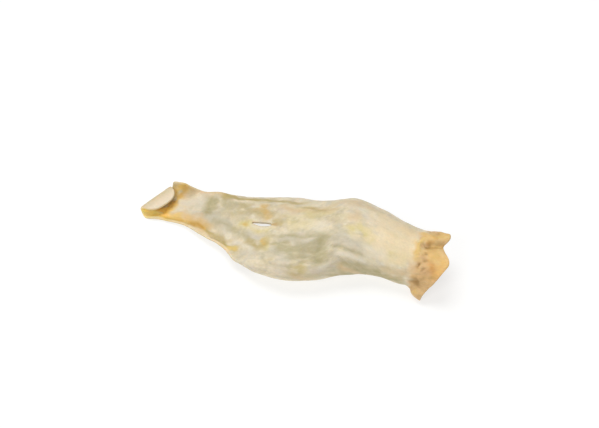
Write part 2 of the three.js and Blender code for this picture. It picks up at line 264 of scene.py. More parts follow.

# Stains, and patches of painted shade, shadow, highlight and light, each under the name of its colour
# and laid over those before it: half width, strength, and line, as places x, v. Which of them are painted
# light or shade is said at each
STAINS_AND_PAINTED_SHADING = {
    "ash": (
        (4.4, 0.7, ((15, 0), (17.4, 0.215), (20.5, 0.473), (24, 0.24))),
        (3.4, 0.9, ((24, -0.2), (35.2, -0.117), (39, -0.199), (44.9, -0.283))),
        (4.2, 0.7, ((79.6, -0.179), (86, -0.189), (94, -0.2))),
        (4.0, 0.7, ((74, -0.3), (79, -0.33), (82, -0.36))),
        (4.0, 0.6, ((90.5, -0.23), (90, -0.25))),
        (4.6, 0.7, ((106, -0.2), (111, -0.24), (116, -0.26))),
        (3.4, 0.6, ((60, -0.53), (66, -0.42))),
        (3.0, 0.7, ((59.8, -0.237), (66.1, -0.237))),
        (4.0, 0.4, ((98, -0.47), (100, -0.49))),
    ),
    "rose": (
        (2.4, 0.5, ((86.5, -0.155), (89, -0.165))),
        (3.2, 0.5, ((96.4, -0.5), (99.1, -0.477))),
        (4.0, 0.5, ((78.6, -0.5), (82, -0.52))),
        (3.0, 0.5, ((100, 0.18), (104, 0.18))),
        (4.4, 0.5, ((139, -0.1), (141.5, -0.04))),
        (2.0, 0.5, ((72, 0.16), (75, 0.13))),
    ),
    "sage_and_shade": (
        # Painted shade in the dent
        (4.2, 1.0, ((29.3, 0.6), (29, 0.38), (30.6, 0.02))),
        (5.0, 0.6, ((36, 0.86), (38, 0.5), (45, 0.41))),
        # Painted shade in the pinched hollow
        (4.2, 0.85, ((96.5, -0.17), (98.8, -0.24), (98.5, -0.37))),
        # Painted shade on the lower side of the waist
        (3.0, 1.0, ((117, -0.56), (128, -0.54))),
        (4.4, 0.8, ((79, -0.27), (83.9, -0.253), (94, -0.25))),
        (3.4, 0.7, ((84, -0.31), (97, -0.34))),
        # Painted shade along the grooves of the wrinkles and of the waist folds
        (1.5, 0.8, ((77, -0.157), (88.7, -0.147), (101.8, -0.177))),
        (1.3, 0.8, ((74.2, -0.241), (81.8, -0.217), (88, -0.25))),
        (2.0, 0.6, ((36, -0.2), (49.5, -0.279), (59.6, -0.311))),
        (1.4, 0.6, ((105, -0.275), (110.6, -0.299), (118.2, -0.365))),
        (2.6, 0.7, ((106.7, -0.42), (112.6, -0.465), (121.7, -0.485))),
        (2.2, 0.5, ((121.7, -0.485), (133.1, -0.45))),
        # Painted shade on the lower side of the waist
        (5.0, 1.0, ((108, -0.64), (121.2, -0.63), (129.2, -0.61), (137, -0.6))),
        (5.0, 0.4, ((40, 0.1), (52, 0.08))),
        # Painted shade on the lower side of the belly
        (4.0, 0.5, ((87, -0.58), (99.9, -0.57))),
    ),
    "yellow": (
        (3.2, 0.9, ((115.5, -0.1), (119.6, -0.163), (122.3, -0.199))),
        (2.6, 0.7, ((110.3, -0.119), (112, -0.13))),
        (4.0, 0.5, ((84, 0.18), (90, 0.025), (97, 0.08))),
        (3.4, 0.4, ((80.1, -0.041), (90, -0.05))),
        (2.2, 0.9, ((53.5, -0.11), (56, -0.131), (58.6, -0.1))),
        (1.8, 0.7, ((60, -0.125), (65, -0.15), (71.5, -0.1))),
        (2.6, 0.7, ((69.3, -0.251), (71.4, -0.29))),
        (2.4, 0.6, ((90.7, -0.43), (91.4, -0.48))),
        (4.6, 0.6, ((133, -0.25), (138, -0.22))),
        (3.0, 0.5, ((130, -0.05), (135.9, -0.081))),
    ),
    "pale": (
        (4.4, 0.45, ((15, 0), (17.4, 0.215), (20.5, 0.473), (24, 0.24))),
        (3.8, 0.8, ((122, -0.3), (128, -0.28))),
        # Painted highlights on the raised lips of the slit
        (1.6, 0.9, ((59, 0.01), (62, 0.015))),
        (1.3, 0.6, ((60, -0.115), (66, -0.118), (71.5, -0.09))),
        (1.6, 0.9, ((56.8, 0.263), (57.4, 0.25))),
        # Painted highlight on a ridge
        (2.0, 0.6, ((43.3, -0.491), (53.7, -0.493), (63.8, -0.409))),
        (3.4, 1.0, ((113.4, 0.08), (116, 0.055), (120, 0.04))),
        (4.0, 0.6, ((124, 0.05), (132, 0.03))),
        # Painted highlights on the ridges of the waist folds
        (1.5, 0.9, ((107, -0.349), (111.2, -0.361), (117.1, -0.405), (120.5, -0.425))),
        (2.4, 0.7, ((101, -0.45), (103.5, -0.431), (106, -0.4))),
        (3.0, 0.5, ((93, -0.05), (97, -0.09))),
    ),
    "tan_and_shade": (
        (2.8, 1.0, ((12.4, -0.576), (17.3, -0.536), (22.6, -0.475), (29.1, -0.5), (34.5, -0.56))),
        (3.4, 0.6, ((10, 0.62), (11, 0.8), (13, 0.95))),
        # Painted shadow along the far edge
        (1.8, 0.8, ((16, 0.99), (28.8, 0.98), (38, 0.93))),
        (2.2, 0.7, ((72.5, 0.26), (78, 0.13), (85, 0.15))),
        (3.4, 0.6, ((103.7, 0.2), (110, 0.17), (118.9, 0.183))),
        # Painted shade in a groove on the far shoulder
        (2.4, 0.7, ((88.1, 0.155), (93.8, 0.129), (98.3, 0.101))),
        (3.0, 0.6, ((111, -0.02), (112, 0.02))),
        (2.6, 0.7, ((110.6, -0.51), (113, -0.53), (116, -0.6))),
        (2.6, 0.6, ((89, -0.53), (91, -0.6), (94, -0.62))),
        (2.6, 0.7, ((141, -0.44), (143.6, -0.36), (143.4, -0.275))),
        (3.4, 0.5, ((134, -0.5), (138, -0.47))),
    ),
    "olive_and_shade": (
        # Painted shadow along the far edge
        (2.6, 1.0, ((36, 0.95), (42.7, 0.848), (51.7, 0.6), (58.9, 0.499), (66.2, 0.453))),
        (2.2, 0.8, ((66.2, 0.453), (72, 0.391), (80.5, 0.299))),
        # Painted shade in a groove on the far shoulder
        (1.6, 0.7, ((84, 0.21), (87.4, 0.18), (91.5, 0.123), (95, 0.107))),
        (3.4, 0.7, ((50, 0.36), (52.6, 0.231), (58.5, 0.115), (67.9, 0.059))),
        (2.4, 0.6, ((71.7, -0.019), (75.6, -0.033))),
        (2.4, 0.8, ((61.3, -0.329), (66.4, -0.327), (70.6, -0.25))),
        (2.6, 1.0, ((34, -0.75), (38, -0.78), (43.4, -0.81), (49, -0.8), (52.5, -0.73))),
        # Painted shade in a soft fold of the belly
        (2.4, 0.4, ((90.5, -0.387), (91.7, -0.471), (88.7, -0.514))),
    ),
    "peach": (
        (3.2, 0.7, ((137, 0.083), (141.1, 0.03))),
        (0.7, 0.7, ((129.4, 0.11), (130.4, 0.13), (133.4, 0.181))),
        (2.8, 0.5, ((140, -0.12), (142.8, -0.147))),
        (2.6, 0.25, ((67, 0.06), (68, 0))),
    ),
    "wheat": (
        (1.7, 1.0, ((16, -1), (25.9, -0.95), (32.2, -0.95), (40, -1), (48, -1))),
        (9.0, 0.9, ((129, -0.12), (135.9, -0.1), (141, -0.07))),
        (6.0, 0.7, ((124, 0.06), (132, 0.08), (138, 0.04))),
    ),
    "honey_and_painted_light": (
        # Amber brighter than the skin's own: painted light on the fold's far wall and under the flap
        (3.0, 1.0, ((4.5, 0.7), (6, 0.85), (7.4, 0.9))),
        (2.4, 1.0, ((11, -0.8), (16.5, -0.77), (20.4, -0.806))),
        (2.6, 0.6, ((50, -0.79), (51.6, -0.75), (52.6, -0.71))),
    ),
    "painted_light_under_flap": (
        # Painted light: a bright band in the shade under the folded flap
        (5.5, 1.0, ((-1.5, -0.9), (3, -0.8), (7, -0.7))),
    ),
    "amber": (
        (2.2, 1.0, ((8.2, -0.1), (7.8, 0.2), (7.4, 0.6))),
        (2.2, 0.8, ((8, 0.6), (9, 0.85), (9.6, 1))),
        (2.4, 0.8, ((12, -0.8), (16.5, -0.78), (20, -0.79))),
        (2.6, 0.7, ((10, -0.6), (12, -0.75), (14, -0.85))),
        (2.4, 1.0, ((20, -0.79), (24.1, -0.73), (28.3, -0.67), (32, -0.71))),
        (2.4, 0.7, ((61.6, 0.3), (63.4, 0.179), (64.6, 0.12))),
        (2.0, 0.4, ((65.2, 0.1), (68, 0))),
        (1.0, 0.6, ((55, -0.14), (56.4, -0.128))),
        (1.2, 0.7, ((68.4, -0.235), (69.3, -0.262))),
    ),
    "ember_and_painted_light": (
        # Orange brighter than the skin's own: painted light in the crease under the flap's edge
        (2.6, 0.9, ((9.4, -0.62), (8.6, -0.4), (8.2, -0.15))),
    ),
    "brown": (
        (1.4, 0.5, ((25, -0.71), (28.3, -0.67), (31, -0.7))),
        (0.8, 0.5, ((71, -0.066), (73.6, -0.062))),
    ),
    "orange": (
        (3.6, 0.8, ((151, -0.14), (153.8, -0.161), (155, -0.193), (154.5, -0.3))),
        (1.6, 0.9, ((149.5, 0.02), (152.9, 0.07), (155.5, 0.13))),
        (2.0, 0.7, ((147, 0.069), (146, 0.02))),
        (2.2, 0.7, ((149.4, -0.23), (152.2, -0.25))),
    ),
    "red": (
        (1.2, 0.9, ((149.6, -0.225), (151, -0.25))),
        (1.3, 0.9, ((151.8, -0.27), (152.4, -0.31))),
        (0.8, 0.8, ((148.9, -0.03), (150.2, -0.02))),
        (0.8, 0.5, ((150.5, -0.12), (151.5, -0.13))),
    ),
    "flush": (
        (1.5, 0.9, ((147.4, -0.19), (148, -0.25))),
        (1.8, 0.7, ((149.6, -0.345), (151.4, -0.34))),
        (1.4, 0.6, ((145, -0.33), (145.9, -0.36))),
        (1.4, 0.7, ((152.2, 0.015), (154, 0.03))),
    ),
    "painted_shade": (
        # Painted shade in the creases, pits and hollows of the base, and under the rolled tongue
        (0.8, 1.0, ((148.8, -0.072), (150.5, -0.054), (154.3, -0.036), (156, -0.026))),
        (0.6, 0.9, ((146, -0.172), (146.1, -0.186))),
        (0.6, 0.8, ((148.8, -0.135), (148.8, -0.148))),
        (0.6, 0.8, ((148.7, -0.215), (148.6, -0.23))),
        (0.6, 0.9, ((146.8, -0.275), (147, -0.3))),
        (0.6, 0.6, ((149, -0.31), (149.1, -0.325))),
        (0.9, 0.25, ((147.4, -0.535), (149.8, -0.488), (151.5, -0.48))),
        (1.3, 0.8, ((149.6, -0.064), (152.4, -0.054), (155, -0.041))),
        (1.0, 0.4, ((146.6, -0.273), (146.7, -0.309))),
        (1.4, 0.25, ((151.1, -0.327), (149.1, -0.51))),
    ),
    "gold": (
        (1.7, 1.0, ((148, 0.06), (146.2, 0.01), (145.7, -0.07), (145.9, -0.139), (145.5, -0.2))),
        (3.4, 0.7, ((152, -0.17), (154.6, -0.1), (156, -0.15))),
        (2.6, 0.8, ((149.6, 0.06), (152.4, 0.04), (155.5, 0.1))),
        (1.0, 0.7, ((151, -0.045), (155, -0.03))),
    ),
}

# Where the skin of the back ends and the bare base begins, how softly and how raggedly
SKIN_END = {
    "v": (-1, -0.52, -0.4, -0.26, -0.14, 0.02, 0.12, 0.3, 0.6, 1),
    "edge": (146, 144.4, 143.9, 144.6, 145.1, 146, 148.4, 149.6, 148.5, 146),
}
SKIN_END_SOFT = 2.4
SKIN_END_RAGGED = 0.6

# Colours, as display values up to DISPLAY_WHITE
DISPLAY_WHITE = 255
COLORS = {
    "cream": (228, 214, 184),
    "straw": (208, 193, 155),
    "ash": (202, 194, 176),
    "rose": (212, 198, 180),
    # Grey-green skin, also used as painted shade in the wrinkles and hollows and on the lower sides
    "sage_and_shade": (174, 163, 122),
    "milk": (232, 225, 206),
    "inner": (208, 188, 146),
    "flap": (230, 213, 186),
    "rim": (220, 200, 156),
    "yellow": (216, 200, 136),
    # Pale skin, also used as painted highlights on the ridges and the lips of the slit
    "pale": (226, 216, 194),
    # Tan skin, also used as painted shadow along the far edge and painted shade in a groove
    "tan_and_shade": (216, 189, 146),
    "peach": (226, 196, 148),
    "wheat": (234, 214, 176),
    # Olive skin, also used as painted shadow along the far edge and painted shade in grooves
    "olive_and_shade": (182, 163, 108),
    # Amber brighter than the skin's own, used as painted light in the shade under the flap
    "honey_and_painted_light": (238, 206, 122),
    "amber": (210, 172, 94),
    # Painted light, brighter than any skin colour, for the shaded band under the flap
    "painted_light_under_flap": (255, 230, 138),
    # Orange brighter than the skin's own, used as painted light in the crease under the flap
    "ember_and_painted_light": (246, 196, 88),
    "brown": (180, 134, 56),
    "base": (218, 181, 128),
    "flesh": (204, 168, 114),
    "orange": (230, 182, 104),
    "red": (202, 144, 72),
    "flush": (214, 176, 130),
    # Painted shade for the creases, pits and hollows of the base
    "painted_shade": (150, 112, 54),
    "gold": (222, 188, 118),
    "core": (176, 128, 74),
    "floor": (250, 250, 249),
}

# Patches that mottle the skin: colour, size, where the noise starts and ends, and strength
PATCHES = (
    ("straw", 9, 0.44, 0.64, 0.8),
    ("ash", 5.2, 0.5, 0.66, 0.7),
    ("sage_and_shade", 6.4, 0.54, 0.72, 0.55),
    ("rose", 4.2, 0.54, 0.68, 0.6),
    ("milk", 2.8, 0.54, 0.72, 0.5),
    ("straw", 1.6, 0.52, 0.7, 0.45),
)

# How far the material's noises move from one seed to the next, and to the inner face and the core
SEED_STEP = 5
FACE_STEP = {"inner": 40, "core": 20}

# The grain of the skin: how its noises are stretched, and the two of them
GRAIN_STRETCH = (0.65, 1, 1)
MEDIUM_GRAIN = {"size": 3.4, "detail": 4, "rough": 0.6}
FINE_GRAIN = {"size": 0.9, "detail": 4, "rough": 0.65}

# How far the inner face and the flap take their own colours, where the flap's gives way to the inner
# face's, and how the edge's falls off to both sides
INNER_SHARE = 0.7
FLAP_SHARE = 0.9
FLAP_FADE = (-9.5, -4.5)
RIM_FULL = 1.4
RIM_FALL = 2.8

# How fields and noises turn into shares: two values of the input, and what each turns into
FITS = {
    "valley": (0, 0.2, 0, 0.6),
    "patchy": (0.25, 0.75, 0.65, 1.35),
    "flesh": (0.4, 0.6, 0, 1),
    "hollow": (-0.15, -0.5, 0, 0.6),
    "hump": (0.1, 0.5, 0, 0.7),
    "core": (0, 0.25, 0, 0.85),
    "shade": (0.3, 0.7, 0.93, 1.05),
    "gloss": (0.3, 0.7, 0.42, 0.6),
}

# The bumps of the grain, and the light that the skin lets through and reflects, with lengths in metres
FINE_BUMP = 0.5
MEDIUM_BUMP = 0.6
BUMP = {"Strength": 0.35, "Distance": 0.0006}
SKIN = {
    "Subsurface Weight": 0.2,
    "Subsurface Radius": (1, 0.6, 0.35),
    "Subsurface Scale": 0.0015,
    "Specular IOR Level": 0.4,
}

# The camera stands at the photograph's angle. FRAME_WIDE and FRAME_HIGH are the photograph's size, and
# TARGET_PIXEL is where the target falls in it
CAMERA_AZIMUTH = np.radians(15)
CAMERA_ELEVATION = np.radians(45)
CAMERA_DISTANCE = 700
CAMERA_TARGET = (0.8, 6.15, 8.2)
SENSOR = 36
LENS = 80.83
FRAME_WIDE = 599
FRAME_HIGH = 428
TARGET_PIXEL = (294, 233.5)
CAMERA_CLIP = 0.01

# The floor is a plain light table: how much it reflects and glows, its roughness, its half size and how
# far it lies under the ear, in metres
FLOOR_SHARE = 0.3
FLOOR_GLOW = 0.75
FLOOR_ROUGH = 0.9
FLOOR_HALF = 3
FLOOR_DROP = 0.00005

# The sky's strength, and the lights, as name, place in metres, size and power
SKY = 0.35
LIGHTS = (
    ("key", (-0.3, 0.12, 1.35), 0.9, 11.5),
    ("fill", (-0.2, -0.95, 0.85), 0.4, 4.4),
)


def smooth(start, end, x):
    """A smooth step from 0 at start to 1 at end."""
    t = np.clip((x - start) / (end - start), 0, 1)
    return t * t * (3 - 2 * t)


def mix(a, b, share):
    """The value between a and b at a share of the way."""
    return a + (b - a) * share


def bell(distance, half):
    """A bell of height 1 at the middle."""
    return np.exp(-((distance / half) ** 2))


def along(table, field, x, key="x"):
    """One value of a table of sections at x, on a smooth curve that never overshoots."""
    at = np.array(table[key], float)
    values = np.array(table[field], float)
    span = np.diff(at)
    slope = np.diff(values) / span
    before = slope[:-1]
    after = slope[1:]
    same_way = before * after > 0
    tangent = np.zeros(len(at))
    tangent[1:-1] = np.where(same_way, 2 * before * after / np.where(same_way, before + after, 1), 0)
    x = np.clip(x, at[0], at[-1])
    k = np.clip(np.searchsorted(at, x, side="right") - 1, 0, len(span) - 1)
    t = (x - at[k]) / span[k]
    value = mix(values[k], values[k + 1], smooth(0, 1, t))
    return value + span[k] * t * (1 - t) * (tangent[k] * (1 - t) - tangent[k + 1] * t)


def by_side(table, near_field, far_field, x, v):
    """One value of a table of sections at x, for the side of the leaf that v lies on."""
    return np.where(v < 0, along(table, near_field, x), along(table, far_field, x))


def past_fold(x):
    """0 before the flap and 1 at its end."""
    flap_start = FOLD_X - ROLL_RADIUS * np.pi / 2
    return np.clip((flap_start - x) / (flap_start - APEX_X), 0, 1)


def flap_width(x):
    """The share of its width that the leaf keeps towards the end of the flap."""
    return np.maximum((1 - past_fold(x) ** FLAP_ROUND) ** (1 / FLAP_ROUND), APEX_WIDTH)


def trough(x, v):
    """Sideways place and height in the trough, whose sides rise on round lips."""
    near = v < 0
    half = by_side(TROUGH, "near", "far", x, v) * flap_width(x)
    rise = smooth(FOLD_X + LIP_START, FOLD_X + np.where(near, NEAR_LIP_RISE, FAR_LIP_RISE), x)
    lip = np.radians(by_side(TROUGH, "near_lip", "far_lip", x, v)) * rise
    radius = np.where(near, NEAR_LIP_RADIUS, FAR_LIP_RADIUS)
    flat = half - radius * lip
    out = np.abs(v) * half
    turned = np.maximum(out - flat, 0) / radius
    side = np.where(turned > 0, flat + radius * np.sin(turned), out)
    fall = np.where(near, along(TROUGH, "drop", x) * smooth(0, DROP_SHARE, -v), 0)
    return np.sign(v) * side, radius * (1 - np.cos(turned)) - fall


def arch(x, v):
    """Sideways place and height on the arch, an ellipse that each side follows round and under."""
    angle = np.abs(v) * np.radians(by_side(ARCH, "near_sweep", "far_sweep", x, v))
    side = np.sign(v) * by_side(ARCH, "near", "far", x, v) * np.sin(angle)
    return side, along(ARCH, "top", x) * (1 + np.cos(angle))


def lobes(v, field):
    """What the lobes of the base add up to at v, for one of their fields."""
    return sum(lobe[field] * bell(v - lobe["v"], lobe["half"]) for lobe in LOBES)


def leaf(x, v):
    """The middle surface of the leaf."""
    low_side, low_height = trough(x, v)
    high_side, high_height = arch(x, v)
    share = mix(smooth(*NEAR_BLEND, x), smooth(*FAR_BLEND, x), smooth(-1, 1, v))
    floor = along(TROUGH, "floor", x)
    side = mix(low_side, high_side, share)
    z = mix(floor + low_height, high_height, share)
    yaw = np.radians(along(SPINE, "yaw", x))
    tilt = np.radians(along(SPINE, "tilt", x))

    # The fold of the tip
    run = np.maximum(FOLD_X - x, 0)
    angle = np.minimum(run / ROLL_RADIUS, ROLL_TURN)
    rest = np.maximum(run - ROLL_RADIUS * ROLL_TURN, 0)
    reach = ROLL_RADIUS - (z - floor)
    behind = np.where(x < FOLD_X, reach * np.sin(angle) + rest * np.cos(ROLL_TURN), 0)
    folded_z = floor + ROLL_RADIUS - reach * np.cos(angle) + rest * np.sin(ROLL_TURN)
    z = np.where(x < FOLD_X, folded_z, z)
    spine_x = np.where(x < FOLD_X, FOLD_X, x) - behind * np.cos(yaw)
    spine_y = along(SPINE, "y", x)

    height = z - floor
    z = z + side * np.sin(tilt) + height * (np.cos(tilt) - 1)
    side = side * np.cos(tilt) - height * np.sin(tilt)
    y = spine_y - behind * np.sin(yaw) + side * np.cos(yaw)

    # The flare of the base
    flared = smooth(NECK_X, LENGTH, x)
    grow = flared * lobes(v, "flare")
    px = spine_x - side * np.sin(yaw) + flared * (RIM_BACK + lobes(v, "reach"))
    py = y + (y - spine_y) * grow
    pz = z + (z - along(ARCH, "top", x)) * grow
    return np.stack(np.broadcast_arrays(px, py, pz), -1)


def unit(vectors):
    """The vectors, each brought to length 1."""
    return vectors / np.linalg.norm(vectors, axis=-1, keepdims=True)


def crosswise(x, v):
    """The direction across the leaf, towards the far margin."""
    return unit(leaf(x, np.minimum(v + STEP, 1)) - leaf(x, np.maximum(v - STEP, -1)))


def outwards(x, v):
    """The direction out of the leaf's back."""
    return unit(np.cross(leaf(x + STEP, v) - leaf(x - STEP, v), crosswise(x, v)))


def crown_width(x):
    """Millimetres across the leaf for one unit of v, at the crown."""
    return along(ARCH, "near", x) * np.radians(along(ARCH, "near_sweep", x))


def dented(x, v):
    """How far the dents draw the leaf in."""
    total = np.zeros(np.broadcast(x, v).shape)
    for dent in DENTS:
        across = (v - dent["v"]) * crown_width(dent["x"])
        total += dent["depth"] * bell(x - dent["x"], dent["along"]) * bell(across, dent["across"])
    return total


def thickness(x, v):
    """The leaf's thickness, which is less round the slit, at the margins and at the end of the flap."""
    across = (v - SLIT_V) * crown_width(SLIT_X)
    patch = bell(x - SLIT_X, SLIT_PATCH["along"]) * bell(across, SLIT_PATCH["across"])
    edge_share = np.maximum(np.abs(v), past_fold(x)) ** MARGIN_POWER
    return LEAF_THICK * (1 - SLIT_PATCH["thinner"] * patch) * (1 - MARGIN_THIN * edge_share)


def closed_share(x):
    """0 where the leaf is open or hollow, 1 where the base is solid."""
    return smooth(HOLLOW_NARROWS, HOLLOW_CLOSED, x)


def back(x, v):
    """Points on the back of the leaf."""
    out = thickness(x, v) / 2 - dented(x, v)
    return leaf(x, v) + outwards(x, v) * out[..., None]


def inside(x, v):
    """Points on the inner face, which draws in to the seam where the base is solid."""
    out = -thickness(x, v) / 2 - dented(x, v)
    p = leaf(x, v) + outwards(x, v) * out[..., None]
    seam_x = x - CORE_DEPTH * smooth(NECK_X, LENGTH, x)
    seam_y = along(SPINE, "y", x) + SEAM_HALF * np.clip(v / SEAM_TURN, -1, 1)
    seam_z = mix(along(ARCH, "top", x), LEAF_THICK / 2, np.abs(v))
    seam = np.stack(np.broadcast_arrays(seam_x, seam_y, seam_z), -1)
    return mix(p, seam, closed_share(x)[..., None])


def off_margin(x, v):
    """The direction off a margin, square to it in the leaf."""
    run = unit(leaf(x + STEP, v) - leaf(x - STEP, v))
    out = crosswise(x, v) * np.sign(v)[..., None]
    return unit(out - run * (out * run).sum(-1, keepdims=True))


def off_tip(x, v):
    """The direction off the end of the flap."""
    return unit(leaf(x, v) - leaf(x + STEP, v))


def edge(turn, x, v, direction):
    """The round edge of the leaf, from its back at turn 0 to its inner face at turn 1."""
    out = direction(x, v)
    outer = back(x, v)
    inner = inside(x, v)
    bulge = thickness(x, v)[..., None] * EDGE_BULGE * np.sin(np.pi * turn)
    return mix(outer, inner, (1 - np.cos(np.pi * turn)) / 2) + out * bulge


def core_ring(share, x, v):
    """A ring of the sunken end of the base, from the rim at share 0 to the seam at share 1."""
    rim = back(x, v)
    core = inside(x, v)
    p = mix(rim, core, share)
    p[..., 0] = mix(rim[..., 0], core[..., 0], smooth(*RIM_WALL, share))
    return p


def spread(stretches):
    """Values that run through stretches of from, to and count."""
    values = [np.array([stretches[0][0]], float)]
    values += [np.linspace(start, end, count + 1)[1:] for start, end, count in stretches]
    return np.concatenate(values)


def slit_opening(x):
    """How far the slit opens at x, in v to each side."""
    t = (x - SLIT_X) / SLIT_HALF
    inside_slit = np.abs(t) < 1 - STEP
    return np.where(inside_slit, SLIT_OPEN * np.sqrt(np.clip(1 - t * t, 0, 1)) / crown_width(SLIT_X), 0)


class EarMesh:
    """A closed mesh of rows of points across the leaf, each in two halves that part at the slit.

    Beside each point's place, it keeps its x and v on the leaf, how far it is round from the back to
    the inner face, and how far it is into the core of the base.
    """

    def __init__(self):
        self.parts = []
        self.count = 0
        self.quads = []
        self.triangles = []

    def add(self, places, x, v, inner, core):
        """Adds a grid of points, and returns the grid of their indexes."""
        shape = places.shape[:-1]
        number = int(np.prod(shape))
        fields = [np.broadcast_to(f, shape).reshape(number, 1) for f in (x, v, inner, core)]
        self.parts.append(np.hstack([places.reshape(number, 3)] + fields))
        first = self.count
        self.count += number
        return np.arange(first, self.count).reshape(shape)

    def rows(self, face, x, inner, core=0.0):
        """Rows of points on one face of the leaf, as the indexes of their near and far halves."""
        x = np.atleast_1d(x)[:, None].astype(float)
        opening = slit_opening(x)
        near_v = np.linspace(-1, SLIT_V, NEAR_COLUMNS + 1)[None, :]
        far_v = np.linspace(SLIT_V, 1, FAR_COLUMNS + 1)[None, :]
        near_v = near_v - opening * bell(near_v - SLIT_V, SLIT_SPREAD)
        far_v = far_v + opening * bell(far_v - SLIT_V, SLIT_SPREAD)
        near = self.add(face(x, near_v), x, near_v, inner, core)
        far = self.add(face(x, far_v), x, far_v, inner, core)
        shut = opening[:, 0] == 0
        far[shut, 0] = near[shut, -1]
        return near, far

    def band(self, a, b):
        """Faces between two chains of the same length."""
        self.quads.append(np.stack([a[:-1], b[:-1], b[1:], a[1:]], -1).reshape(-1, 4))

    def sheet(self, grid):
        """Faces between each row of a grid and the next."""
        for a, b in zip(grid[:-1], grid[1:]):
            self.band(a, b)

    def sew(self, a, b):
        """Faces between two chains of different lengths, which share neither end."""
        i = 0
        j = 0
        while i + 1 < len(a) or j + 1 < len(b):
            if j + 1 == len(b) or (i + 1) / len(a) < (j + 1) / len(b):
                self.triangles.append((a[i], b[j], a[i + 1]))
                i += 1
            else:
                self.triangles.append((a[i], b[j], b[j + 1]))
                j += 1

    def data(self):
        """One row for each point: its place, x, v, inner and core."""
        return np.concatenate(self.parts)


def ear_mesh():
    """The closed mesh of the plain ear: its back, inner face, round edges, slit and sunken core."""
    mesh = EarMesh()
    xs = spread(ROWS)
    outer = mesh.rows(back, xs, inner=0.0)
    inner = mesh.rows(inside, xs, inner=1.0)
    shares = (np.arange(CORE_RINGS) + 1) / (CORE_RINGS + 1)
    rings = [
        mesh.rows(lambda x, v, share=share: core_ring(share, x, v), LENGTH, inner=0.0, core=share)
        for share in shares
    ]
    tips = [
        mesh.rows(lambda x, v, turn=turn: edge(turn, x, v, off_tip), APEX_X, inner=turn)
        for turn in EDGE_TURNS
    ]

    for half in (0, 1):
        end = 0 if half == 0 else -1
        margin = -1.0 if half == 0 else 1.0
        ring_rows = np.concatenate([ring[half] for ring in rings])
        tip_rows = np.concatenate([tip[half] for tip in reversed(tips)])
        mesh.sheet(np.concatenate([outer[half], ring_rows, inner[half][::-1], tip_rows, outer[half][:1]]))

        # The round edge along the margin, sewn to the rings of the base
        middle_x = xs[1:-1]
        chains = [outer[half][:-1, end]]
        for turn, tip in zip(EDGE_TURNS, tips):
            places = edge(turn, middle_x, np.full_like(middle_x, margin), off_margin)
            made = mesh.add(places, middle_x, margin, turn, 0.0)
            chains.append(np.concatenate([tip[half][:, end], made]))
        chains.append(inner[half][:-1, end])
        for a, b in zip(chains[:-1], chains[1:]):
            mesh.band(*((a, b) if half == 0 else (b, a)))
        closing = np.concatenate([outer[half][-1:, end], ring_rows[:, end], inner[half][-1:, end]])
        last = [chain[-1] for chain in chains]
        mesh.sew(*((closing, last) if half == 0 else (last, closing)))

    # The walls of the slit
    beside = np.abs(xs - SLIT_X) <= SLIT_HALF + STEP
    mesh.band(inner[0][beside, -1], outer[0][beside, -1])
    mesh.band(outer[1][beside, 0], inner[1][beside, 0])
    return mesh


def waves(points, sizes, seed):
    """Smooth noise, mostly between -2 and 2, with bumps of about the given sizes along each axis."""
    random = np.random.default_rng(seed)
    turns = unit(random.normal(size=(WAVES, points.shape[-1])))
    turns *= random.uniform(*WAVE_VARIES, (WAVES, 1)) * np.pi / np.array(sizes, float)
    phases = random.uniform(0, 2 * np.pi, WAVES)
    return np.sin(points @ turns.T + phases).sum(-1) * np.sqrt(2 / WAVES)


def over_skin(x, v):
    """Millimetres along and across the leaf, as if it lay flat."""
    near = v < 0
    low = by_side(TROUGH, "near", "far", x, v) * flap_width(x)
    high = by_side(ARCH, "near", "far", x, v) * np.radians(by_side(ARCH, "near_sweep", "far_sweep", x, v))
    share = np.where(near, smooth(*NEAR_BLEND, x), smooth(*FAR_BLEND, x))
    return np.stack(np.broadcast_arrays(x, v * mix(low, high, share)), -1)


def strayed(flat):
    """Flat points moved a little by noise, so that no line drawn on the skin is straight."""
    moves = [waves(flat, (STRAY["size"],) * 2, STRAY["seed"] + k) for k in (0, 1)]
    fine = [waves(flat, (STRAY["fine_size"],) * 2, STRAY["seed"] + k) for k in (2, 3)]
    return flat + STRAY["by"] * np.stack(moves, -1) + STRAY["fine_by"] * np.stack(fine, -1)


def distance_to(line, flat):
    """Millimetres over the skin from each flat point to a line of places x, v."""
    places = np.array(line, float)
    knots = over_skin(places[:, 0], places[:, 1])
    nearest = np.full(len(flat), np.inf)
    for start, end in zip(knots[:-1], knots[1:]):
        run = end - start
        share = np.clip(((flat - start) @ run) / (run @ run), 0, 1)
        gap = np.linalg.norm(flat - start - share[:, None] * run, axis=1)
        nearest = np.minimum(nearest, gap)
    return nearest


def creases(noise):
    """Sharp valleys where the noise changes sign, from 0 to 1."""
    return np.clip(1 - np.abs(noise) / CREASE_HALF, 0, 1) ** CREASE_POWER


def valleys(x, v, middle):
    """The depths of the fine wrinkles, in millimetres."""
    rising = smooth(WRINKLED["from"], WRINKLED["from"] + WRINKLED["soft"], x)
    falling = 1 - smooth(WRINKLED["to"] - WRINKLED["soft"], WRINKLED["to"], x)
    place = rising * falling * bell(v - WRINKLED["v"], WRINKLED["half"])
    total = np.zeros(len(x))
    for layer in WRINKLES:
        sizes = (layer["along"], layer["across"], layer["across"])
        total += layer["height"] * creases(waves(middle, sizes, layer["seed"]))
    return total * place


def crumpled(points):
    """The heights of the crumpled flesh, in millimetres."""
    return sum(layer["height"] * waves(points, (layer["size"],) * 3, layer["seed"]) for layer in CRUMPLE)


